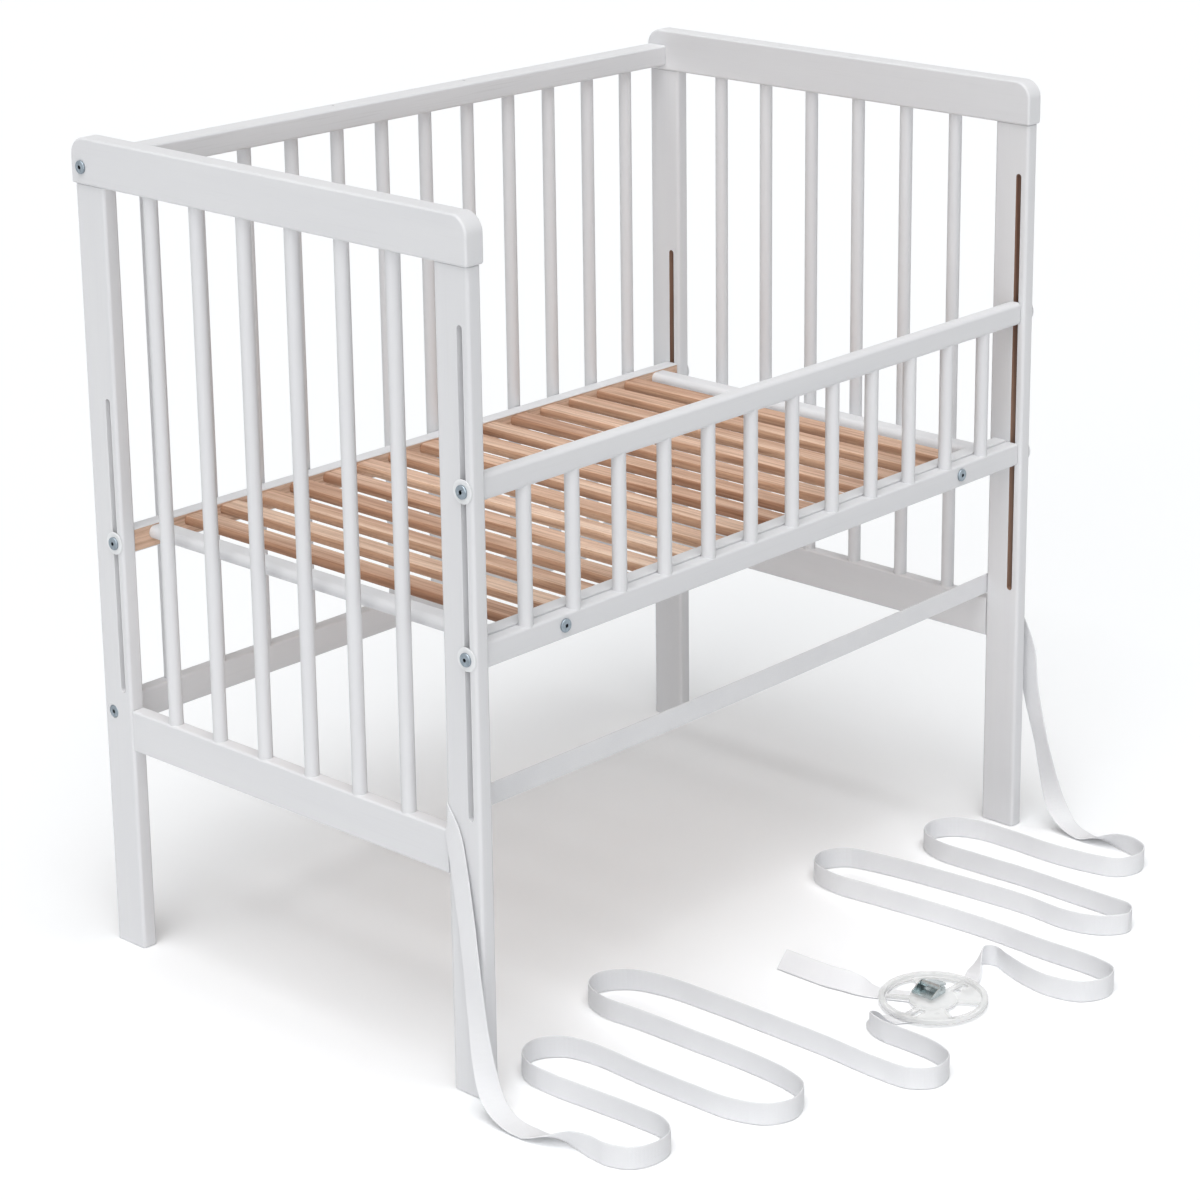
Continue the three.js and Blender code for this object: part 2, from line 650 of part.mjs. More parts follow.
// Right strap: the same on the other post, with its own loops
const rightRoute = [
  [crossingEnd + jointGap, strapY, strapHeight, 0, 0, 1],
  [473, -253.2, 311.8, 0, 0, 1],
  [475.8, -255.9, 310, 0, -0.05, 1],
  [476.5, -257.6, 305.5, 0, -0.3, 0.95],
  [477, -259.5, 301, 0, -0.55, 0.83],
  [477.6, -264.5, 293, 0, -0.8, 0.6],
  [480, -273, 282, 0, -0.86, 0.5],
  [483, -286, 260, 0, -0.9, 0.43],
  [485.5, -298, 228, 0, -0.97, 0.25],
  [487, -303, 180, 0, -1, 0.1],
  [487, -322, 110, -0.2, -1, 0.3],
  [488, -334, 65, 0.1, -1, 0.3],
  [488, -345, 35, 0.5, -0.85, 0.3],
  [488, -362, 12, 0.9, -0.4, 0],
  [487, -388, 2.4, 1, 0, 0],
  [485, -418, 7.4, 0.85, 0, -0.5],
  [483, -445, 12.4, 0.35, 0, -0.93],
  [480, -468, 12.9, 0, 0, -1],
  [468, -491, 12.9, 0, 0, -1],
  [443, -499.5, 12.9, 0, 0, -1],
  [417, -487, 12.9, 0, 0, -1],
  [405.5, -452, 12.9, 0, 0, -1],
  [399.5, -400, 12.9, 0, 0, -1],
  [400.5, -345, 12.9, 0, 0, -1],
  [398, -295, 12.9, 0, 0, -1],
  [385, -264, 12.9, 0, 0, -1],
  [358, -249, 12.9, 0, 0, -1],
  [331, -259, 12.9, 0, 0, -1],
  [316.5, -292, 12.9, 0, 0, -1],
  [317, -350, 12.9, 0, 0, -1],
  [321, -420, 12.9, 0, 0, -1],
  [320.5, -485, 12.9, 0, 0, -1],
  [320.5, -540, 12.9, 0, 0, -1],
  [318, -572, 12.9, 0, 0, -1],
  [297, -583, 12.9, 0, 0, -1],
  [270, -563, 12.9, 0, 0, -1],
  [257, -525, 12.9, 0, 0, -1],
  [259.5, -465, 12.9, 0, 0, -1],
  [255.5, -400, 12.9, 0, 0, -1],
  [248.5, -330, 12.9, 0, 0, -1],
  [240, -268, 12.9, 0, 0, -1],
  [226, -219, 12.9, 0, 0, -1],
  [199, -203, 12.9, 0, 0, -1],
  [171, -215, 12.9, 0, 0, -1],
  [159.5, -250, 12.9, 0, 0, -1],
  [165, -320, 12.9, 0, 0, -1],
  [173, -400, 12.9, 0, 0, -1],
  [177, -475, 12.9, 0, 0, -1],
  [175.5, -550, 12.9, 0, 0, -1],
  [176.5, -620, 12.9, 0, 0, -1],
  [168, -650, 12.9, 0, 0, -1],
  [143, -658, 12.9, 0, 0, -1],
  [115, -642, 12.9, 0, 0, -1],
  [104.5, -605, 12.9, 0, 0, -1],
  [109.5, -567, 12.9, 0, 0, -1],
  [119.5, -537, 12.9, 0, 0, -1],
  [126.5, -517, 12.9, 0, 0, -1],
  [119, -504, 12.7, 0, 0.25, -0.97],
  [105, -507, 10.4, 0.1, 0.62, -0.78],
  [92, -513, 5.7, 0.2, 0.9, -0.38],
  [80, -518.5, 1.5, 0.3, 0.95, 0],
  [66, -524, 1.2, 0.3, 0.95, 0],
  [49, -529, 1.2, 0.1, 1, 0],
];
add("strap_right", band(rightRoute, 2), webbing);

// Anchor disc: a shallow ring on six spokes with a hub for the buckle. Four of the sectors between the spokes
// are open windows, and the other two are closed and have a slot for the webbing.
const rimInner = discRadius - discRimWidth;
const discProfile = [
  [0, 0],
  [discRadius - 1.5, 0],
  [discRadius, 1.5],
  [discRadius, discRimHeight - 1],
  [discRadius - 1, discRimHeight],
  [rimInner + 1, discRimHeight],
  [rimInner, discRimHeight - 1],
  [rimInner, discFloor],
  [discHubRadius + 1, discFloor],
  [discHubRadius, discHubHeight],
  [0, discHubHeight],
].map(([r, z]) => new THREE.Vector2(r, z));
const dish = new THREE.LatheGeometry(discProfile, 36);
dish.rotateX(Math.PI / 2);
dish.translate(discX, discY, discBottom);

const sectorAngle = 2 * Math.PI / discSpokeCount;
const windowArcSteps = 5;

// One side of a window is an arc from spoke to spoke, so its ends are parallel to the spokes
function windowArc(radius, middle) {
  const half = sectorAngle / 2 - Math.asin(discSpokeWidth / 2 / radius);
  return Array.from({ length: windowArcSteps + 1 }, (_, k) => {
    const angle = middle + half * (2 * k / windowArcSteps - 1);
    return new THREE.Vector2(discX + radius * Math.cos(angle), discY + radius * Math.sin(angle));
  });
}

const discOpenings = discWindows.map((i) => {
  const middle = (i + 0.5) * sectorAngle;
  const outer = windowArc(rimInner - discWindowInset, middle);
  const inner = windowArc(discHubRadius + discWindowInset, middle).reverse();
  return sweep(new THREE.Shape([...outer, ...inner]), "z", discBottom - 1, discBottom + discRimHeight, 1);
});
for (const x of row(2, discSlotSpacing)) {
  const y = discY - discSlotFromMiddle;
  const slot = roundedRectangle(discX + x - discSlotLength / 2, y - discSlotWidth / 2,
    discX + x + discSlotLength / 2, y + discSlotWidth / 2, 1.5, 2);
  discOpenings.push(sweep(slot, "z", discBottom - 1, discBottom + discRimHeight, 1));
}

const ribLength = rimInner - discHubRadius;
const discRibs = Array.from({ length: discSpokeCount }, (_, i) => {
  const geometry = new THREE.BoxGeometry(ribLength, discRibWidth, discRibHeight);
  geometry.translate(discHubRadius + ribLength / 2, 0, discRibHeight / 2);
  geometry.rotateZ(i * sectorAngle);
  geometry.translate(discX, discY, discBottom);
  return solid(geometry);
});
const bucklePad = block(buckleX - buckleLength / 2 - padMargin, buckleX + buckleLength / 2 + padMargin,
  buckleY - buckleWidth / 2 - padMargin, buckleY + buckleWidth / 2 + padMargin,
  discBottom, discBottom + discHubHeight);
add("anchor_disc", join(cut(solid(dish), discOpenings), [...discRibs, bucklePad]), clearPlastic);

// Buckle on the hub: a steel channel whose walls rise towards the pin, and a lever with a cam for the webbing
const buckleX0 = buckleX - buckleLength / 2;
const buckleX1 = buckleX + buckleLength / 2;
const buckleY0 = buckleY - buckleWidth / 2;
const buckleY1 = buckleY + buckleWidth / 2;
const buckleZ = discBottom + discHubHeight + buttGap;
const pinX = buckleX1 - bucklePinFromEnd;
const pinZ = buckleZ + bucklePinHeight;

function buckleWall(y0) {
  const outline = new THREE.Shape([
    [buckleZ, buckleX0],
    [buckleZ + buckleWallLow - 1, buckleX0],
    [buckleZ + buckleWallLow, buckleX0 + 1],
    [buckleZ + buckleWallHigh, pinX - 3],
    [buckleZ + buckleWallHigh, pinX + 3],
    [buckleZ + buckleWallHigh - 3, buckleX1],
    [buckleZ, buckleX1],
  ].map(([z, x]) => new THREE.Vector2(z, x)).reverse());
  return sweep(outline, "y", y0, y0 + bucklePlate, 1);
}

const buckleFloor = block(buckleX0, buckleX1, buckleY0, buckleY1, buckleZ, buckleZ + bucklePlate);
const pinHole = rod("y", pinX, buckleY, pinZ, buckleWidth + 2, bucklePinDiameter + 2 * socketGap, 12);
add("buckle_frame", cut(
  join(buckleFloor, [buckleWall(buckleY0), buckleWall(buckleY1 - bucklePlate)]), [pinHole]), steel);
add("buckle_pin", rod("y", pinX, buckleY, pinZ, buckleWidth + 1, bucklePinDiameter, 12), steel);

// The lever slopes down from its cam to a round thumb tab outside the channel
const leverHalf = buckleWidth / 2 - bucklePlate - leverSideGap;
const cam = rod("y", 0, 0, 0, 2 * leverHalf, 2 * leverCamRadius, 14);
const armHalf = leverHalf - 3;
const armZ = leverCamRadius - leverTabThickness;
const arm = block(-1, leverTabReach, -armHalf, armHalf, armZ, leverCamRadius);
const tab = rod("z", leverTabReach, 0, leverCamRadius - leverTabThickness / 2, leverTabThickness,
  2 * leverTabRadius, 20);
const leverBore = rod("y", 0, 0, 0, 2 * leverHalf + 2, bucklePinDiameter + 2 * socketGap, 12);
const lever = add("buckle_lever", cut(join(cam, [arm, tab]), [leverBore]), steel);
lever.rotation.y = THREE.MathUtils.degToRad(leverTabSlope);
lever.position.set(pinX, buckleY, pinZ);

// Tail: from under the hub out below the rim, then over the floor, where it leans on its edge
const tailRoute = [
  [5, -500, 1.2, 0.89, 0.45, 0],
  [-5, -480, 1.2, 0.89, 0.45, 0],
  [-15, -459.5, 1.2, 0.9, 0.42, 0],
  [-20, -449, 3.2, 0.93, 0.3, 0.15],
  [-24, -439, 6.9, 0.85, 0.15, 0.45],
  [-28, -424, 9.6, 0.72, 0.05, 0.66],
  [-32, -405, 9.9, 0.7, 0, 0.72],
  [-33, -370, 9.9, 0.7, 0, 0.72],
  [-33, -334, 9.9, 0.7, 0, 0.72],
];
add("strap_tail", band(tailRoute, 2), webbing);

export default group;
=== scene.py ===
import math

import bmesh
import bpy
from mathutils import Matrix, Vector


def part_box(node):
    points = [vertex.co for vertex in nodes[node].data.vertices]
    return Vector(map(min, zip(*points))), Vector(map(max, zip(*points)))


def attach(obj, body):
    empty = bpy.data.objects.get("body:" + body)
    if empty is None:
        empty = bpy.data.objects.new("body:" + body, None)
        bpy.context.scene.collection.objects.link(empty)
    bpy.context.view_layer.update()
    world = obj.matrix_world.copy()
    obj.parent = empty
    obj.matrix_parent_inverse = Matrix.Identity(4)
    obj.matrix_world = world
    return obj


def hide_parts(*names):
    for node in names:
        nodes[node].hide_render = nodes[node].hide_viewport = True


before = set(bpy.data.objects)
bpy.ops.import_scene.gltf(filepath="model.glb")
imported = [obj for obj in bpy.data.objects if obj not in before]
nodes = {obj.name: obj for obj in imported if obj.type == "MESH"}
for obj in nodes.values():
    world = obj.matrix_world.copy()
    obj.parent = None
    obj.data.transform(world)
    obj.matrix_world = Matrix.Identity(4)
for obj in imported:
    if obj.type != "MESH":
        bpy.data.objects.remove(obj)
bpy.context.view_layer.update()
X, Y, Z = 0, 1, 2

# Sizes that several pieces share, in metres
HALF_LENGTH = 0.475
POST_THICKNESS = 0.019
INNER_FACE = HALF_LENGTH - POST_THICKNESS
SPINDLE_RADIUS = 0.008
SLOT_WIDTH = 0.0078
HEAD_HEIGHT = 0.0022
WEBBING_WIDTH = 0.025
WEBBING_THICKNESS = 0.0016


# Camera

def make_camera():
    data = bpy.data.cameras.new("camera")
    data.sensor_width = 36.0
    data.lens = 95.68
    data.shift_x = -0.1208
    data.shift_y = -0.1958
    data.clip_end = 50.0
    camera = bpy.data.objects.new("camera", data)
    bpy.context.scene.collection.objects.link(camera)
    heading = Matrix.Rotation(math.radians(-49.47), 4, "Z")
    tilt = Matrix.Rotation(math.radians(90 - 15.46), 4, "X")
    camera.matrix_world = Matrix.Translation((-2.5827, -2.4585, 1.6289)) @ heading @ tilt
    bpy.context.scene.camera = camera


make_camera()


# Materials

def new_finish(name, colour, roughness, metallic=0.0):
    finish = bpy.data.materials.new(name)
    finish.use_nodes = True
    tree = finish.node_tree
    shader = tree.nodes["Principled BSDF"]
    shader.inputs["Base Color"].default_value = (*colour, 1.0)
    shader.inputs["Roughness"].default_value = roughness
    shader.inputs["Metallic"].default_value = metallic
    return finish, tree.nodes, tree.links, shader


def stretched_noise(tree_nodes, links, scale, detail=3.0, roughness=0.55, distortion=0.0):
    """Noise on Object coordinates with its own scale along each axis, in cells per metre."""
    place = tree_nodes.new("ShaderNodeTexCoord")
    stretch = tree_nodes.new("ShaderNodeMapping")
    stretch.inputs["Scale"].default_value = scale
    noise = tree_nodes.new("ShaderNodeTexNoise")
    noise.inputs["Scale"].default_value = 1.0
    noise.inputs["Detail"].default_value = detail
    noise.inputs["Roughness"].default_value = roughness
    noise.inputs["Distortion"].default_value = distortion
    links.new(place.outputs["Object"], stretch.inputs["Vector"])
    links.new(stretch.outputs["Vector"], noise.inputs["Vector"])
    return noise.outputs["Fac"]


def colour_ramp(tree_nodes, links, value, stops):
    ramp = tree_nodes.new("ShaderNodeValToRGB")
    while len(ramp.color_ramp.elements) < len(stops):
        ramp.color_ramp.elements.new(0.5)
    for element, (place, colour) in zip(ramp.color_ramp.elements, stops):
        element.position = place
        element.color = (*colour, 1.0)
    links.new(value, ramp.inputs["Fac"])
    return ramp.outputs["Color"]


def spread(tree_nodes, links, value, low, high):
    """A value from 0 to 1, moved to the range from low to high."""
    span = tree_nodes.new("ShaderNodeMapRange")
    span.inputs["To Min"].default_value = low
    span.inputs["To Max"].default_value = high
    links.new(value, span.inputs["Value"])
    return span.outputs["Result"]


def add_bump(tree_nodes, links, shader, heights):
    """Bump nodes in a chain, one for each (height, strength, distance)."""
    last = None
    for height, strength, distance in heights:
        bump = tree_nodes.new("ShaderNodeBump")
        bump.inputs["Strength"].default_value = strength
        bump.inputs["Distance"].default_value = distance
        links.new(height, bump.inputs["Height"])
        if last:
            links.new(last, bump.inputs["Normal"])
        last = bump.outputs["Normal"]
    links.new(last, shader.inputs["Normal"])


def mixed(tree_nodes, links, share, first, second):
    mix = tree_nodes.new("ShaderNodeMix")
    mix.data_type = "RGBA"
    links.new(share, mix.inputs["Factor"])
    for socket, colour in ((mix.inputs["A"], first), (mix.inputs["B"], second)):
        if isinstance(colour, tuple):
            socket.default_value = (*colour, 1.0)
        else:
            links.new(colour, socket)
    return mix.outputs["Result"]


def along_grain(axis, along, across):
    scale = [across, across, across]
    scale[axis] = along
    return tuple(scale)


def multiplied(tree_nodes, links, share, first, second):
    mix = tree_nodes.new("ShaderNodeMix")
    mix.data_type = "RGBA"
    mix.blend_type = "MULTIPLY"
    mix.inputs["Factor"].default_value = share
    links.new(first, mix.inputs["A"])
    links.new(second, mix.inputs["B"])
    return mix.outputs["Result"]


def painted_wood(name, axis, grain_share=0.12):
    """White satin paint on beech: the coat is slightly cloudy, and the grain shows through by its share."""
    finish, n, links, shader = new_finish(name, (0.735, 0.738, 0.752), 0.42)
    grain = stretched_noise(n, links, along_grain(axis, 9.0, 420.0), 4.0, 0.6, 0.4)
    cloud = stretched_noise(n, links, along_grain(axis, 3.0, 26.0), 2.0)
    peel = stretched_noise(n, links, (900.0, 900.0, 900.0), 2.0)
    tone = colour_ramp(n, links, cloud, [(0.3, (0.72, 0.723, 0.74)), (0.7, (0.746, 0.749, 0.762))])
    pores = colour_ramp(n, links, grain, [(0.28, (0.84, 0.835, 0.83)), (0.46, (1.0, 1.0, 1.0))])
    links.new(multiplied(n, links, grain_share, tone, pores), shader.inputs["Base Color"])
    links.new(spread(n, links, cloud, 0.4, 0.54), shader.inputs["Roughness"])
    shader.inputs["Specular IOR Level"].default_value = 0.22
    add_bump(n, links, shader, [(grain, 0.5 * grain_share, 0.0002), (peel, 0.1, 0.00008)])
    return finish


def beech(name, axis, painted_shade=(1.0, 1.0, 1.0)):
    """Bare beech: fine long grain, broad pink and straw streaks, and short dark ray flecks. The last argument
    multiplies every tone, to paint shade on faces that get less light.
    """

    def with_painted_shade(colour):
        return tuple(c * s for c, s in zip(colour, painted_shade))

    finish, n, links, shader = new_finish(name, with_painted_shade((0.69, 0.49, 0.37)), 0.6)
    shader.inputs["Specular IOR Level"].default_value = 0.25
    streak = stretched_noise(n, links, along_grain(axis, 0.9, 30.0), 3.0, 0.5, 0.6)
    grain = stretched_noise(n, links, along_grain(axis, 6.0, 240.0), 5.0, 0.65, 0.3)
    plank = stretched_noise(n, links, along_grain(axis, 0.3, 19.0), 0.0)
    fleck = stretched_noise(n, links, along_grain(axis, 130.0, 1100.0), 1.0, 0.4)
    tones = [(0.34, (0.545, 0.345, 0.245)), (0.5, (0.715, 0.5, 0.375)), (0.66, (0.85, 0.655, 0.52))]
    body = colour_ramp(n, links, streak, [(place, with_painted_shade(tone)) for place, tone in tones])
    lines = colour_ramp(n, links, grain, [(0.36, (0.62, 0.53, 0.47)), (0.58, (1.05, 1.04, 1.03))])
    tints = [(0.38, (0.84, 0.79, 0.76)), (0.5, (0.97, 0.96, 0.95)), (0.62, (1.04, 1.06, 1.08))]
    tint = colour_ramp(n, links, plank, tints)
    wood = multiplied(n, links, 1.0, multiplied(n, links, 0.85, body, lines), tint)
    dots = n.new("ShaderNodeMapRange")
    dots.inputs["From Min"].default_value = 0.62
    dots.inputs["From Max"].default_value = 0.74
    dots.inputs["To Max"].default_value = 0.4
    links.new(fleck, dots.inputs["Value"])
    colour = mixed(n, links, dots.outputs["Result"], wood, with_painted_shade((0.4, 0.24, 0.16)))
    links.new(colour, shader.inputs["Base Color"])
    links.new(spread(n, links, grain, 0.5, 0.68), shader.inputs["Roughness"])
    add_bump(n, links, shader, [(grain, 0.3, 0.0002), (fleck, 0.1, 0.00005)])
    return finish


def plated_metal(name, colour, roughness, spots):
    """Zinc or nickel plating: a cloudy tone and fine brushed scratches."""
    finish, n, links, shader = new_finish(name, colour, roughness, 1.0)
    cloud = stretched_noise(n, links, (260.0, 260.0, 260.0), 3.0)
    scratch = stretched_noise(n, links, (2600.0, 2600.0, 240.0), 2.0)
    dark = tuple(c * 0.72 for c in colour)
    links.new(colour_ramp(n, links, cloud, [(0.32, dark), (0.66, colour)]), shader.inputs["Base Color"])
    links.new(spread(n, links, scratch, roughness - spots, roughness + spots), shader.inputs["Roughness"])
    add_bump(n, links, shader, [(scratch, 0.15, 0.00003)])
    return finish


def moulded_plastic(name, colour, roughness):
    """White moulded plastic with the fine texture of its mould."""
    finish, n, links, shader = new_finish(name, colour, roughness)
    texture = stretched_noise(n, links, (1500.0, 1500.0, 1500.0), 2.0)
    cloud = stretched_noise(n, links, (60.0, 60.0, 60.0), 2.0)
    dull = tuple(c * 0.95 for c in colour)
    links.new(colour_ramp(n, links, cloud, [(0.35, dull), (0.65, colour)]), shader.inputs["Base Color"])
    links.new(spread(n, links, texture, roughness - 0.06, roughness + 0.08), shader.inputs["Roughness"])
    add_bump(n, links, shader, [(texture, 0.1, 0.00004)])
    return finish


def clear_plastic(name, tone, opacity):
    """Natural moulded plastic: milky, with the floor showing through it and faint flow marks."""
    finish, n, links, shader = new_finish(name, (tone, tone * 1.01, tone), 0.3)
    shader.inputs["Alpha"].default_value = opacity
    shader.inputs["IOR"].default_value = 1.49
    flow = stretched_noise(n, links, (60.0, 60.0, 200.0), 3.0, 0.5, 1.2)
    links.new(spread(n, links, flow, 0.22, 0.38), shader.inputs["Roughness"])
    low, high = tone * 0.97, tone * 1.02
    links.new(colour_ramp(n, links, flow, [(0.3, (low, low * 1.012, low * 1.004)), (0.7, (high, high, high))]),
              shader.inputs["Base Color"])
    add_bump(n, links, shader, [(flow, 0.05, 0.0002)])
    return finish


def woven_webbing(name):
    """Polyester webbing on its own UV map: U runs along and V across, both in metres."""
    finish, n, links, shader = new_finish(name, (0.78, 0.785, 0.81), 0.82)
    shader.inputs["Sheen Weight"].default_value = 0.15
    shader.inputs["Sheen Roughness"].default_value = 0.5
    uv = n.new("ShaderNodeUVMap")
    uv.uv_map = "webbing"
    split = n.new("ShaderNodeSeparateXYZ")
    links.new(uv.outputs["UV"], split.inputs["Vector"])

    def calc(operation, first, second=None):
        step = n.new("ShaderNodeMath")
        step.operation = operation
        for socket, value in zip(step.inputs, (first, second)):
            if isinstance(value, float):
                socket.default_value = value
            elif value is not None:
                links.new(value, socket)
        return step.outputs["Value"]

    # The twill turns back every 6 mm across, which makes its chevrons
    chevron = calc("PINGPONG", split.outputs["Y"], 0.003)
    slant = calc("ADD", split.outputs["X"], chevron)
    pick = calc("SINE", calc("MULTIPLY", slant, 2 * math.pi / 0.0016))
    warp = calc("SINE", calc("MULTIPLY", split.outputs["Y"], 2 * math.pi / 0.0009))
    height = calc("ADD", calc("MULTIPLY", pick, 0.35), calc("MULTIPLY", warp, 0.15))
    weave = calc("ADD", height, 0.5)
    fuzz = stretched_noise(n, links, (700.0, 700.0, 700.0), 3.0, 0.7)
    soil = stretched_noise(n, links, (22.0, 22.0, 22.0), 2.0)
    tone = colour_ramp(n, links, weave, [(0.05, (0.71, 0.713, 0.728)), (0.6, (0.82, 0.823, 0.838))])
    dull = colour_ramp(n, links, soil, [(0.35, (0.93, 0.93, 0.94)), (0.65, (1.0, 1.0, 1.0))])
    links.new(multiplied(n, links, 0.4, tone, dull), shader.inputs["Base Color"])
    add_bump(n, links, shader, [(weave, 0.5, 0.0003), (fuzz, 0.15, 0.00015)])
    return finish


paint = {
    X: painted_wood("white_paint_length", X),
    Y: painted_wood("white_paint_depth", Y),
    Z: painted_wood("white_paint_height", Z),
}
grained_paint = painted_wood("white_paint_over_grain", X, 0.5)
beech_slats = beech("beech_depth", Y)
# The slats' flanks take beech darkened by painted shade, since the next slats keep the light off them.
beech_flanks_painted_shade = beech("beech_painted_flank_shade", Y, (0.74, 0.64, 0.56))
beech_rails = beech("beech_length", X)
# Raw beech for the slot walls at the right end, darkened by painted shade for the depth of the slots.
beech_slots_painted_shade = beech("beech_slot_walls_painted_shade", Z, (0.6, 0.56, 0.55))
zinc = plated_metal("zinc_plate", (0.36, 0.42, 0.47), 0.34, 0.08)
# Near-black metal for the hex sockets: painted shade for the inside of the recess.
socket_painted_shade = plated_metal("zinc_painted_socket_shade", (0.05, 0.06, 0.07), 0.5, 0.08)
steel = plated_metal("buckle_plate", (0.6, 0.66, 0.67), 0.22, 0.07)
washer_plastic = moulded_plastic("washer_plastic", (0.82, 0.83, 0.84), 0.38)
disc_plastic = clear_plastic("disc_plastic", 0.93, 0.36)
# Darker, more opaque plastic for the disc's upright walls: painted shade that draws their grey outlines.
disc_walls_painted_shade = clear_plastic("disc_plastic_painted_wall_shade", 0.74, 0.55)
webbing = woven_webbing("strap_webbing")


# Shaping

def finished(bm, name, material, body, slot, *replaced, crease=40.0, second=None):
    """Makes a bmesh a piece that rides on a body. Faces marked with index 1 take the second material."""
    mesh = bpy.data.meshes.new(name)
    bm.to_mesh(mesh)
    bm.free()
    for face in mesh.polygons:
        face.use_smooth = True
    mesh.set_sharp_from_angle(angle=math.radians(crease))
    mesh.materials.append(material)
    if second:
        mesh.materials.append(second)
    piece = bpy.data.objects.new(name, mesh)
    bpy.context.scene.collection.objects.link(piece)
    weighted = piece.modifiers.new("flat_faces", "WEIGHTED_NORMAL")
    weighted.keep_sharp = True
    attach(piece, body)
    if replaced:
        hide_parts(*replaced)
    return piece


def round_edges(bm, edges, radius, steps):
    bmesh.ops.bevel(bm, geom=edges, offset=radius, offset_type="OFFSET", segments=steps, profile=0.5,
                    affect="EDGES", material=-1)


def block(low, high):
    bm = bmesh.new()
    bmesh.ops.create_cube(bm, size=1.0)
    size = Vector(high) - Vector(low)
    bmesh.ops.scale(bm, vec=size, verts=bm.verts)
    bmesh.ops.translate(bm, vec=Vector(low) + size / 2, verts=bm.verts)
    return bm


def runs_along(edge, axis):
    step = edge.verts[1].co - edge.verts[0].co
    return abs(step[axis]) > 0.999 * step.length


def board(low, high, axis, radius, steps, end_radius=0.0008):
    """A bar with round long edges and slightly softened ends."""
    bm = block(low, high)
    round_edges(bm, [e for e in bm.edges if runs_along(e, axis)], radius, steps)
    ends = [e for e in bm.edges if all(abs(v.co[axis] - low[axis]) < 1e-6 for v in e.verts)
            or all(abs(v.co[axis] - high[axis]) < 1e-6 for v in e.verts)]
    round_edges(bm, ends, end_radius, 2)
    return bm


def spindle(x, y, low, high):
    bm = bmesh.new()
    bmesh.ops.create_cone(bm, cap_ends=True, segments=28, radius1=SPINDLE_RADIUS, radius2=SPINDLE_RADIUS,
                          depth=high - low)
    bmesh.ops.translate(bm, vec=(x, y, (low + high) / 2), verts=bm.verts)
    return bm


def softened_copy(node, rim, steps=2, sharp=50.0):
    """A merged copy of a CAD node whose sharp edges are broken by a small round."""
    bm = bmesh.new()
    bm.from_mesh(nodes[node].data)
    bmesh.ops.remove_doubles(bm, verts=bm.verts, dist=2e-6)
    bmesh.ops.dissolve_limit(bm, angle_limit=math.radians(0.5), verts=bm.verts, edges=bm.edges)
    edges = [e for e in bm.edges if e.is_manifold and e.calc_face_angle() > math.radians(sharp)]
    bmesh.ops.bevel(bm, geom=edges, offset=rim, offset_type="OFFSET", segments=steps, profile=0.5,
                    affect="EDGES", material=-1, clamp_overlap=True)
    return bm


# Webbing straps, with the same routes as the solids

def route_curve(route, steps):
    """Points and frames along a centripetal curve through the route, steps to each stretch."""
    points = [Vector(row[:3]) for row in route]
    widths = [Vector(row[3:]).normalized() for row in route]
    before = points[0] * 2 - points[1]
    after = points[-1] * 2 - points[-2]
    padded = [before, *points, after]
    places = []
    for k in range(len(points) - 1):
        p0, p1, p2, p3 = padded[k:k + 4]
        d0, d1, d2 = (math.sqrt((b - a).length) for a, b in ((p0, p1), (p1, p2), (p2, p3)))
        t1 = ((p1 - p0) / d0 - (p2 - p0) / (d0 + d1) + (p2 - p1) / d1) * d1
        t2 = ((p2 - p1) / d1 - (p3 - p1) / (d1 + d2) + (p3 - p2) / d2) * d1
        for i in range(steps if k < len(points) - 2 else steps + 1):
            t = i / steps
            a = 2 * p1 - 2 * p2 + t1 + t2
            b = -3 * p1 + 3 * p2 - 2 * t1 - t2
            place = ((a * t + b) * t + t1) * t + p1
            tangent = ((3 * a * t + 2 * b) * t + t1).normalized()
            across = widths[k].lerp(widths[k + 1], t).normalized()
            places.append((place, across, tangent.cross(across).normalized()))
    return places


def strap(name, route, steps, *replaced):
    """A woven band: its section is extruded along the route, and its UV map is in metres."""
    places = route_curve(route, steps)
    half_width, half_thickness = WEBBING_WIDTH / 2, WEBBING_THICKNESS / 2
    section = [(-1.0, 0.35), (-0.97, 0.8), (-0.9, 1.0), (0.0, 0.9), (0.9, 1.0), (0.97, 0.8), (1.0, 0.35),
               (1.0, -0.35), (0.97, -0.8), (0.9, -1.0), (0.0, -0.9), (-0.9, -1.0), (-0.97, -0.8), (-1.0, -0.35)]
    bm = bmesh.new()
    along = bm.verts.layers.float.new("along")
    side = bm.verts.layers.float.new("side")

    def stand(place, across, normal):
        turn = Matrix((across, normal, across.cross(normal))).transposed().to_4x4()
        return Matrix.Translation(place) @ turn

    verts = [bm.verts.new((u * half_width, v * half_thickness, 0)) for u, v in section]
    for vert in verts:
        vert[side] = vert.co.x
    face = bm.faces.new(verts)
    now = stand(*places[0])
    bmesh.ops.transform(bm, matrix=now, verts=verts)
    gone = 0.0
    for (last, _, _), place in zip(places, places[1:]):
        gone += (place[0] - last).length
        new = bmesh.ops.extrude_face_region(bm, geom=[face])["geom"]
        fresh = [g for g in new if isinstance(g, bmesh.types.BMVert)]
        face = next(g for g in new if isinstance(g, bmesh.types.BMFace))
        after = stand(*place)
        bmesh.ops.transform(bm, matrix=after @ now.inverted(), verts=fresh)
        now = after
        for vert in fresh:
            vert[along] = gone
    bmesh.ops.recalc_face_normals(bm, faces=bm.faces)
    uv = bm.loops.layers.uv.new("webbing")
    for part in bm.faces:
        for loop in part.loops:
            loop[uv].uv = (loop.vert[along], loop.vert[side])
    piece = finished(bm, name, webbing, "frame", "webbing", *replaced, crease=60.0)
    return piece, [tuple(place[0]) for place in places], gone


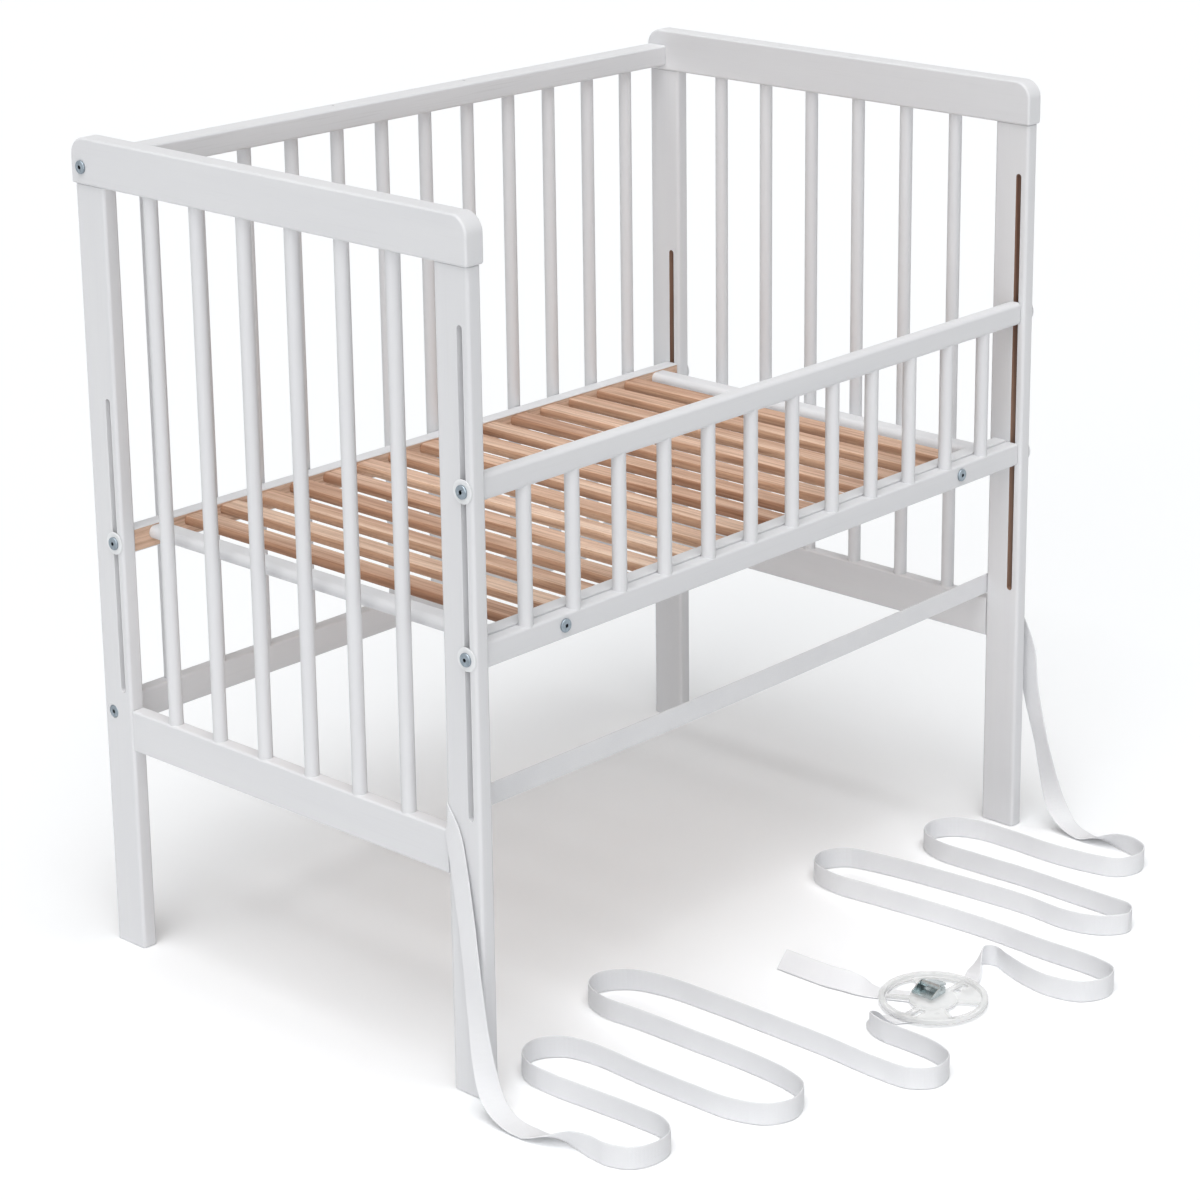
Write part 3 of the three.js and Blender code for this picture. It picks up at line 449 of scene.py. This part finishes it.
# Each route point is a place, then the direction across the band
CROSSING = [
    (-0.469, -0.2528, 0.3125, 0, 0, 1),
    (-0.436, -0.2525, 0.312, 0, 0, 1),
    (0, -0.2508, 0.3085, 0, 0, 1),
    (0.436, -0.2525, 0.312, 0, 0, 1),
    (0.469, -0.2528, 0.3125, 0, 0, 1),
]
LEFT = [
    (-0.4693, -0.2528, 0.3125, 0, 0, 1),
    (-0.473, -0.2532, 0.3118, 0, 0, 1),
    (-0.4758, -0.2559, 0.31, 0, -0.05, 1),
    (-0.4765, -0.2576, 0.3055, 0, -0.3, 0.95),
    (-0.477, -0.2595, 0.301, 0, -0.55, 0.83),
    (-0.4774, -0.264, 0.2925, 0, -0.8, 0.6),
    (-0.4782, -0.2684, 0.2804, 0, -0.93, 0.37),
    (-0.4794, -0.2747, 0.2525, 0, -0.98, 0.2),
    (-0.482, -0.2855, 0.2, 0, -0.98, 0.2),
    (-0.486, -0.296, 0.15, 0, -1, 0.2),
    (-0.49, -0.307, 0.095, 0.15, -1, 0.2),
    (-0.4935, -0.319, 0.05, 0.5, -0.9, 0.2),
    (-0.496, -0.334, 0.02, 0.9, -0.5, 0),
    (-0.497, -0.355, 0.006, 1, -0.1, 0),
    (-0.496, -0.385, 0.0022, 1, 0, 0),
    (-0.492, -0.415, 0.0074, 0.85, 0, -0.5),
    (-0.4895, -0.44, 0.0124, 0.35, 0, -0.93),
    (-0.489, -0.462, 0.0129, 0, 0, -1),
    (-0.4895, -0.487, 0.0129, 0, 0, -1),
    (-0.478, -0.511, 0.0129, 0, 0, -1),
    (-0.455, -0.5215, 0.0129, 0, 0, -1),
    (-0.429, -0.5175, 0.0129, 0, 0, -1),
    (-0.4135, -0.494, 0.0129, 0, 0, -1),
    (-0.4125, -0.455, 0.0129, 0, 0, -1),
    (-0.416, -0.4, 0.0129, 0, 0, -1),
    (-0.42, -0.345, 0.0129, 0, 0, -1),
    (-0.416, -0.302, 0.0129, 0, 0, -1),
    (-0.399, -0.281, 0.0129, 0, 0, -1),
    (-0.375, -0.277, 0.0129, 0, 0, -1),
    (-0.352, -0.295, 0.0129, 0, 0, -1),
    (-0.3425, -0.33, 0.0129, 0, 0, -1),
    (-0.343, -0.4, 0.0129, 0, 0, -1),
    (-0.3415, -0.47, 0.0129, 0, 0, -1),
    (-0.338, -0.52, 0.0129, 0, 0, -1),
    (-0.322, -0.556, 0.0129, 0, 0, -1),
    (-0.294, -0.569, 0.0129, 0, 0, -1),
    (-0.264, -0.556, 0.0129, 0, 0, -1),
    (-0.2525, -0.525, 0.0129, 0, 0, -1),
    (-0.2485, -0.465, 0.0129, 0, 0, -1),
    (-0.2505, -0.39, 0.0129, 0, 0, -1),
    (-0.2525, -0.315, 0.0129, 0, 0, -1),
    (-0.2555, -0.262, 0.0129, 0, 0, -1),
    (-0.243, -0.23, 0.0129, 0, 0, -1),
    (-0.218, -0.22, 0.0129, 0, 0, -1),
    (-0.19, -0.239, 0.0129, 0, 0, -1),
    (-0.175, -0.28, 0.0129, 0, 0, -1),
    (-0.17, -0.35, 0.0129, 0, 0, -1),
    (-0.1685, -0.43, 0.0129, 0, 0, -1),
    (-0.168, -0.51, 0.0129, 0, 0, -1),
    (-0.1705, -0.58, 0.0129, 0, 0, -1),
    (-0.166, -0.62, 0.0129, 0, 0, -1),
    (-0.145, -0.64, 0.0129, 0, 0, -1),
    (-0.116, -0.634, 0.0129, 0, 0, -1),
    (-0.1025, -0.605, 0.0129, 0, 0, -1),
    (-0.1005, -0.56, 0.0129, 0, 0, -1),
    (-0.1005, -0.531, 0.0129, 0, 0, -1),
    (-0.093, -0.509, 0.0125, 0, 0, -1),
    (-0.0815, -0.5025, 0.0108, 0, 0.6, -0.8),
    (-0.07, -0.503, 0.0048, 0, 0.96, -0.28),
    (-0.059, -0.508, 0.0013, 0.2, 0.98, 0),
    (-0.046, -0.516, 0.0012, 0.4, 0.9, 0),
    (-0.032, -0.525, 0.0012, 0.5, 0.85, 0),
]
RIGHT = [
    (0.4693, -0.2528, 0.3125, 0, 0, 1),
    (0.473, -0.2532, 0.3118, 0, 0, 1),
    (0.4758, -0.2559, 0.31, 0, -0.05, 1),
    (0.4765, -0.2576, 0.3055, 0, -0.3, 0.95),
    (0.477, -0.2595, 0.301, 0, -0.55, 0.83),
    (0.4776, -0.2645, 0.293, 0, -0.8, 0.6),
    (0.48, -0.273, 0.282, 0, -0.86, 0.5),
    (0.483, -0.286, 0.26, 0, -0.9, 0.43),
    (0.4855, -0.298, 0.228, 0, -0.97, 0.25),
    (0.487, -0.303, 0.18, 0, -1, 0.1),
    (0.487, -0.322, 0.11, -0.2, -1, 0.3),
    (0.488, -0.334, 0.065, 0.1, -1, 0.3),
    (0.488, -0.345, 0.035, 0.5, -0.85, 0.3),
    (0.488, -0.362, 0.012, 0.9, -0.4, 0),
    (0.487, -0.388, 0.0024, 1, 0, 0),
    (0.485, -0.418, 0.0074, 0.85, 0, -0.5),
    (0.483, -0.445, 0.0124, 0.35, 0, -0.93),
    (0.48, -0.468, 0.0129, 0, 0, -1),
    (0.468, -0.491, 0.0129, 0, 0, -1),
    (0.443, -0.4995, 0.0129, 0, 0, -1),
    (0.417, -0.487, 0.0129, 0, 0, -1),
    (0.4055, -0.452, 0.0129, 0, 0, -1),
    (0.3995, -0.4, 0.0129, 0, 0, -1),
    (0.4005, -0.345, 0.0129, 0, 0, -1),
    (0.398, -0.295, 0.0129, 0, 0, -1),
    (0.385, -0.264, 0.0129, 0, 0, -1),
    (0.358, -0.249, 0.0129, 0, 0, -1),
    (0.331, -0.259, 0.0129, 0, 0, -1),
    (0.3165, -0.292, 0.0129, 0, 0, -1),
    (0.317, -0.35, 0.0129, 0, 0, -1),
    (0.321, -0.42, 0.0129, 0, 0, -1),
    (0.3205, -0.485, 0.0129, 0, 0, -1),
    (0.3205, -0.54, 0.0129, 0, 0, -1),
    (0.318, -0.572, 0.0129, 0, 0, -1),
    (0.297, -0.583, 0.0129, 0, 0, -1),
    (0.27, -0.563, 0.0129, 0, 0, -1),
    (0.257, -0.525, 0.0129, 0, 0, -1),
    (0.2595, -0.465, 0.0129, 0, 0, -1),
    (0.2555, -0.4, 0.0129, 0, 0, -1),
    (0.2485, -0.33, 0.0129, 0, 0, -1),
    (0.24, -0.268, 0.0129, 0, 0, -1),
    (0.226, -0.219, 0.0129, 0, 0, -1),
    (0.199, -0.203, 0.0129, 0, 0, -1),
    (0.171, -0.215, 0.0129, 0, 0, -1),
    (0.1595, -0.25, 0.0129, 0, 0, -1),
    (0.165, -0.32, 0.0129, 0, 0, -1),
    (0.173, -0.4, 0.0129, 0, 0, -1),
    (0.177, -0.475, 0.0129, 0, 0, -1),
    (0.1755, -0.55, 0.0129, 0, 0, -1),
    (0.1765, -0.62, 0.0129, 0, 0, -1),
    (0.168, -0.65, 0.0129, 0, 0, -1),
    (0.143, -0.658, 0.0129, 0, 0, -1),
    (0.115, -0.642, 0.0129, 0, 0, -1),
    (0.1045, -0.605, 0.0129, 0, 0, -1),
    (0.1095, -0.567, 0.0129, 0, 0, -1),
    (0.1195, -0.537, 0.0129, 0, 0, -1),
    (0.1265, -0.517, 0.0129, 0, 0, -1),
    (0.119, -0.504, 0.0127, 0, 0.25, -0.97),
    (0.105, -0.507, 0.0104, 0.1, 0.62, -0.78),
    (0.092, -0.513, 0.0057, 0.2, 0.9, -0.38),
    (0.08, -0.5185, 0.0015, 0.3, 0.95, 0),
    (0.066, -0.524, 0.0012, 0.3, 0.95, 0),
    (0.049, -0.529, 0.0012, 0.1, 1, 0),
]
TAIL = [
    (0.005, -0.5, 0.0012, 0.89, 0.45, 0),
    (-0.005, -0.48, 0.0012, 0.89, 0.45, 0),
    (-0.015, -0.4595, 0.0012, 0.9, 0.42, 0),
    (-0.02, -0.449, 0.0032, 0.93, 0.3, 0.15),
    (-0.024, -0.439, 0.0069, 0.85, 0.15, 0.45),
    (-0.028, -0.424, 0.0096, 0.72, 0.05, 0.66),
    (-0.032, -0.405, 0.0099, 0.7, 0, 0.72),
    (-0.033, -0.37, 0.0099, 0.7, 0, 0.72),
    (-0.033, -0.334, 0.0099, 0.7, 0, 0.72),
]


def make_straps():
    hardware = [nodes[name] for name in ("anchor_disc", "buckle_frame", "buckle_pin")]
    for name, route, steps, node, far_end, lay, carried in (
        ("crossing_strap", CROSSING, 10, "strap_crossing", "object", "taut", []),
        ("left_strap", LEFT, 6, "strap_left", "fitting", "loose", hardware),
        ("right_strap", RIGHT, 6, "strap_right", "object", "loose", []),
        ("strap_end", TAIL, 8, "strap_tail", "bare", "loose", []),
    ):
        piece, path, length = strap(name, route, steps, node)
        print(name, round(length, 3))


make_straps()


# Posts and end panels

def make_posts():
    """The walls of the slots are painted at the left end and raw wood at the right end, where the wood is
    darkened by painted shade for the depth of the slots.
    """
    for side, walls in (("left", paint[Z]), ("right", beech_slots_painted_shade)):
        for end, slot_y in (("front", -0.289), ("rear", 0.267)):
            node = f"{side}_{end}_post"
            bm = softened_copy(node, 0.0007)
            bm.normal_update()
            for face in bm.faces:
                middle = face.calc_center_median()
                if abs(face.normal.x) < 0.3 and abs(middle.y - slot_y) < SLOT_WIDTH / 2 and middle.z > 0.3:
                    # Slot walls take the second material; at the right end it is raw beech darkened by painted
                    # shade.
                    face.material_index = 1
            finished(bm, f"{node}_painted", paint[Z], "frame", "painted_wood", node, second=walls)


def make_end_top_rail(side):
    low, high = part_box(f"{side}_end_top_rail")
    bm = block(low, high)
    middle = (low[Z] + high[Z]) / 2
    for radius, steps, upper in ((0.021, 12, True), (0.003, 4, False)):
        corners = [e for e in bm.edges if runs_along(e, X) and (e.verts[0].co.z > middle) == upper]
        round_edges(bm, corners, radius, steps)
    rims = [e for e in bm.edges if all(abs(v.co.x - low.x) < 1e-6 for v in e.verts)
            or all(abs(v.co.x - high.x) < 1e-6 for v in e.verts)]
    round_edges(bm, rims, 0.0029, 4)
    finished(bm, f"{side}_end_rail", paint[Y], "frame", "painted_wood", f"{side}_end_top_rail")


def make_spindles(name, node, axis, across, pitch, count, low, high, body):
    """A row of spindles along an axis, at the same distance across, centred on the crib."""
    for i in range(count):
        place = (i - (count - 1) / 2) * pitch
        x, y = (place, across) if axis == X else (across, place)
        finished(spindle(x, y, low, high), f"{name}_{i + 1}", paint[Z], body, "painted_wood", node)


def make_end_panels():
    for side, sign in (("left", -1), ("right", 1)):
        make_end_top_rail(side)
        node = f"{side}_end_bottom_rail"
        low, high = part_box(node)
        rail_top = 0.293
        finished(board(low, (high[X], high[Y], rail_top), Y, 0.003, 4), f"{side}_lower_rail", paint[Y],
                 "frame", "painted_wood", node)
        make_spindles(f"{side}_end_spindle", node, Y, (low[X] + high[X]) / 2, 0.0748571, 6, rail_top - 0.01,
                      high[Z], "frame")


def make_back():
    finished(softened_copy("back_top_rail", 0.0004), "back_rail", grained_paint, "frame", "painted_wood",
             "back_top_rail")
    low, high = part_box("back_bottom_rail")
    rail_top = 0.302
    finished(board(low, (high[X], high[Y], rail_top), X, 0.003, 4), "back_lower_rail", paint[X], "frame",
             "painted_wood", "back_bottom_rail")
    make_spindles("back_spindle", "back_bottom_rail", X, (low[Y] + high[Y]) / 2, 0.071, 12, rail_top - 0.01,
                  high[Z], "frame")


def make_gate():
    low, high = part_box("gate_top_rail")
    finished(board(low, high, X, 0.005, 5), "gate_rail", paint[X], "gate_and_base", "painted_wood",
             "gate_top_rail")
    low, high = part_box("gate_bottom_rail")
    rail_top = 0.5025
    finished(board(low, (high[X], high[Y], rail_top), X, 0.003, 4), "gate_lower_rail", paint[X],
             "gate_and_base", "painted_wood", "gate_bottom_rail")
    make_spindles("gate_spindle", "gate_bottom_rail", X, (low[Y] + high[Y]) / 2, 0.071, 12, rail_top - 0.01,
                  high[Z], "gate_and_base")


# Slatted base

def make_base_rail(node, name, inward):
    """A painted rail whose inner face, with its mortises, is bare."""
    bm = softened_copy(node, 0.0005)
    bm.normal_update()
    low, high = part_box(node)
    for face in bm.faces:
        middle = face.calc_center_median()
        depth = high.y - middle.y if inward > 0 else middle.y - low.y
        inside = 0.001 < middle.z - low.z < high.z - low.z - 0.001 and depth < 0.0112
        if inside and (face.normal.y * inward > 0.5 or abs(middle.x) < high.x - 0.001 and depth > 0.0006):
            face.material_index = 1
    finished(bm, name, paint[X], "gate_and_base", "painted_wood", node, second=beech_rails)


def make_base():
    make_base_rail("base_front_rail", "base_front_bar", 1)
    make_base_rail("base_rear_rail", "base_rear_bar", -1)
    for i in range(1, 16):
        node = f"slat_{i:02d}"
        low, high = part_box(node)
        slat = board(low, high, Y, 0.005, 5)
        slat.normal_update()
        # Flanks facing along X take the second material: beech darkened by painted shade.
        for face in slat.faces:
            if abs(face.normal.x) > 0.6:
                face.material_index = 1
        finished(slat, f"bed_{node}", beech_slats, "gate_and_base", "beech", node, second=beech_flanks_painted_shade)
    for side in ("left", "right"):
        node = f"base_{side}_cross_bar"
        low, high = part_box(node)
        finished(board(low, high, Y, 0.0072, 7), f"{side}_bed_bar", paint[Y], "gate_and_base", "painted_wood",
                 node)


# Bolts and washers

def turned_to(bm, direction, place):
    turn = Vector((0, 0, 1)).rotation_difference(Vector(direction)).to_matrix().to_4x4()
    bmesh.ops.transform(bm, matrix=Matrix.Translation(place) @ turn, verts=bm.verts)


def bolt(length, head_radius, head_height, shank_radius=0.003):
    """A low flat head with a hexagon socket, its seat at the origin and its shank below."""
    key_radius, key_depth, rim, drop = 0.0023, 0.0021, 0.0014, 0.001
    bm = bmesh.new()
    bmesh.ops.create_circle(bm, cap_ends=True, segments=6, radius=key_radius)
    bmesh.ops.translate(bm, vec=(0, 0, head_height - key_depth), verts=bm.verts)
    socket = bmesh.ops.extrude_edge_only(bm, edges=[e for e in bm.edges])["geom"]
    socket_rim = [g for g in socket if isinstance(g, bmesh.types.BMVert)]
    bmesh.ops.translate(bm, vec=(0, 0, key_depth), verts=socket_rim)
    rim_edges = [e for e in bm.edges if all(v in socket_rim for v in e.verts)]
    ring_verts = bmesh.ops.create_circle(bm, segments=36, radius=head_radius - rim)["verts"]
    bmesh.ops.translate(bm, vec=(0, 0, head_height), verts=ring_verts)
    ring = [e for e in bm.edges if all(v in ring_verts for v in e.verts)]
    bmesh.ops.bridge_loops(bm, edges=rim_edges + ring)

    def grow(edges, radius, z):
        new = bmesh.ops.extrude_edge_only(bm, edges=edges)["geom"]
        verts = [g for g in new if isinstance(g, bmesh.types.BMVert)]
        now = verts[0].co.xy.length
        bmesh.ops.scale(bm, vec=(radius / now, radius / now, 1), verts=verts)
        bmesh.ops.translate(bm, vec=(0, 0, z - verts[0].co.z), verts=verts)
        return [g for g in new if isinstance(g, bmesh.types.BMEdge) and all(v in verts for v in g.verts)]

    for i in range(1, 5):
        angle = math.radians(90 * i / 4)
        ring = grow(ring, head_radius - rim + rim * math.sin(angle), head_height - drop * (1 - math.cos(angle)))
    ring = grow(ring, head_radius, 0)
    ring = grow(ring, shank_radius, 0)
    ring = grow(ring, shank_radius, -length)
    bmesh.ops.contextual_create(bm, geom=ring)
    bmesh.ops.recalc_face_normals(bm, faces=bm.faces)
    # Faces inside the hex socket take the second material, a near-black metal that paints the socket's shade.
    for face in bm.faces:
        middle = face.calc_center_median()
        if middle.xy.length < key_radius and 0 < middle.z < head_height - 0.0001:
            face.material_index = 1
    return bm


def washer(hole, radius, thickness):
    """A turned ring with rounded outer edges, from z 0 to its thickness."""
    rim = 0.0004
    profile = [(hole, 0), (radius - rim, 0), (radius, rim), (radius, thickness - rim),
               (radius - rim, thickness), (hole, thickness)]
    bm = bmesh.new()
    verts = [bm.verts.new((r, 0, z)) for r, z in profile]
    edges = [bm.edges.new(pair) for pair in zip(verts, verts[1:] + verts[:1])]
    bmesh.ops.spin(bm, geom=verts + edges, cent=(0, 0, 0), axis=(0, 0, 1), angle=math.tau, steps=48,
                   use_merge=True)
    bmesh.ops.recalc_face_normals(bm, faces=bm.faces)
    return bm


def make_bolt(node, body, direction, name):
    low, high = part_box(node)
    outward = Vector(direction)
    axis = next(i for i in range(3) if direction[i])
    length = high[axis] - low[axis]
    centre = (low + high) / 2
    tip = centre + outward * (length / 2)
    bm = bolt(length - HEAD_HEIGHT, (high[Z] - low[Z]) / 2, HEAD_HEIGHT)
    turned_to(bm, direction, tip - outward * HEAD_HEIGHT)
    finished(bm, name, zinc, body, "zinc", node, second=socket_painted_shade)


def make_fasteners():
    for side, sign in (("left", -1), ("right", 1)):
        for place in ("gate_top", "gate_bottom", "base_rear"):
            node = f"{side}_{place}_washer"
            low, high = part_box(node)
            centre = (low + high) / 2
            inner = high[X] if sign < 0 else low[X]
            bm = washer(0.0032, (high[Z] - low[Z]) / 2, high[X] - low[X])
            turned_to(bm, (sign, 0, 0), (inner, centre[Y], centre[Z]))
            finished(bm, f"{side}_{place}_ring", washer_plastic, "gate_and_base", "white_plastic", node)
            make_bolt(f"{side}_{place}_bolt", "gate_and_base", (sign, 0, 0), f"{side}_{place}_screw")
        for place in ("back_top", "back_bottom"):
            make_bolt(f"{side}_{place}_bolt", "frame", (sign, 0, 0), f"{side}_{place}_screw")
        make_bolt(f"{side}_gate_to_base_bolt", "gate_and_base", (0, -1, 0), f"{side}_gate_to_base_screw")


# Anchor disc and buckle

def make_anchor():
    disc = softened_copy("anchor_disc", 0.0004)
    disc.normal_update()
    # Upright faces take the second material, darker plastic that paints shade on the walls.
    for face in disc.faces:
        if abs(face.normal.z) < 0.9:
            face.material_index = 1
    finished(disc, "floor_disc", disc_plastic, "frame", "clear_plastic", "anchor_disc", second=disc_walls_painted_shade)
    finished(softened_copy("buckle_frame", 0.0003), "buckle_body", steel, "frame", "steel", "buckle_frame")
    finished(softened_copy("buckle_pin", 0.0001), "buckle_axle", steel, "frame", "steel", "buckle_pin")
    finished(softened_copy("buckle_lever", 0.0003), "buckle_cam", steel, "cam_lever", "steel", "buckle_lever")


make_posts()
make_end_panels()
make_back()
make_gate()
make_base()
make_fasteners()
make_anchor()


# Studio

def make_floor():
    bm = bmesh.new()
    bmesh.ops.create_grid(bm, x_segments=1, y_segments=1, size=20.0)
    bmesh.ops.translate(bm, vec=(0, 0, -0.0005), verts=bm.verts)
    mesh = bpy.data.meshes.new("floor")
    bm.to_mesh(mesh)
    bm.free()
    finish, n, links, shader = new_finish("floor_white", (0.918, 0.93, 0.943), 0.9)
    shader.inputs["Specular IOR Level"].default_value = 0.0
    path = n.new("ShaderNodeLightPath")
    glow = n.new("ShaderNodeMath")
    glow.operation = "MULTIPLY"
    glow.inputs[1].default_value = 0.09
    links.new(path.outputs["Is Camera Ray"], glow.inputs[0])
    shader.inputs["Emission Color"].default_value = (1, 1, 1, 1)
    links.new(glow.outputs["Value"], shader.inputs["Emission Strength"])
    mesh.materials.append(finish)
    floor = bpy.data.objects.new("floor", mesh)
    bpy.context.scene.collection.objects.link(floor)


def make_world():
    world = bpy.data.worlds.new("studio")
    bpy.context.scene.world = world
    world.use_nodes = True
    n, links = world.node_tree.nodes, world.node_tree.links
    background = n["Background"]
    background.inputs["Color"].default_value = (1, 1, 1, 1)
    path = n.new("ShaderNodeLightPath")
    seen = None
    for ray in ("Is Camera Ray", "Is Glossy Ray", "Is Transmission Ray"):
        if seen is None:
            seen = path.outputs[ray]
            continue
        either = n.new("ShaderNodeMath")
        either.operation = "MAXIMUM"
        links.new(seen, either.inputs[0])
        links.new(path.outputs[ray], either.inputs[1])
        seen = either.outputs["Value"]
    level = n.new("ShaderNodeMapRange")
    level.inputs["To Min"].default_value = 0.05
    level.inputs["To Max"].default_value = 1.0
    links.new(seen, level.inputs["Value"])
    links.new(level.outputs["Result"], background.inputs["Strength"])


def add_softbox(name, towards, spread_angle, level):
    """A broad far lamp: its level is what it adds to the light on a white card that faces it."""
    data = bpy.data.lights.new(name, "SUN")
    data.angle = math.radians(spread_angle)
    data.energy = level * math.pi
    lamp = bpy.data.objects.new(name, data)
    bpy.context.scene.collection.objects.link(lamp)
    lamp.rotation_mode = "QUATERNION"
    lamp.rotation_quaternion = Vector(towards).to_track_quat("-Z", "Y")


make_floor()
make_world()
add_softbox("overhead", (0.2, 0.18, -1), 50, 0.81)
add_softbox("window_side", (0.62, 0.42, -0.3), 60, 0.42)

scene = bpy.context.scene
scene.view_settings.view_transform = "Standard"
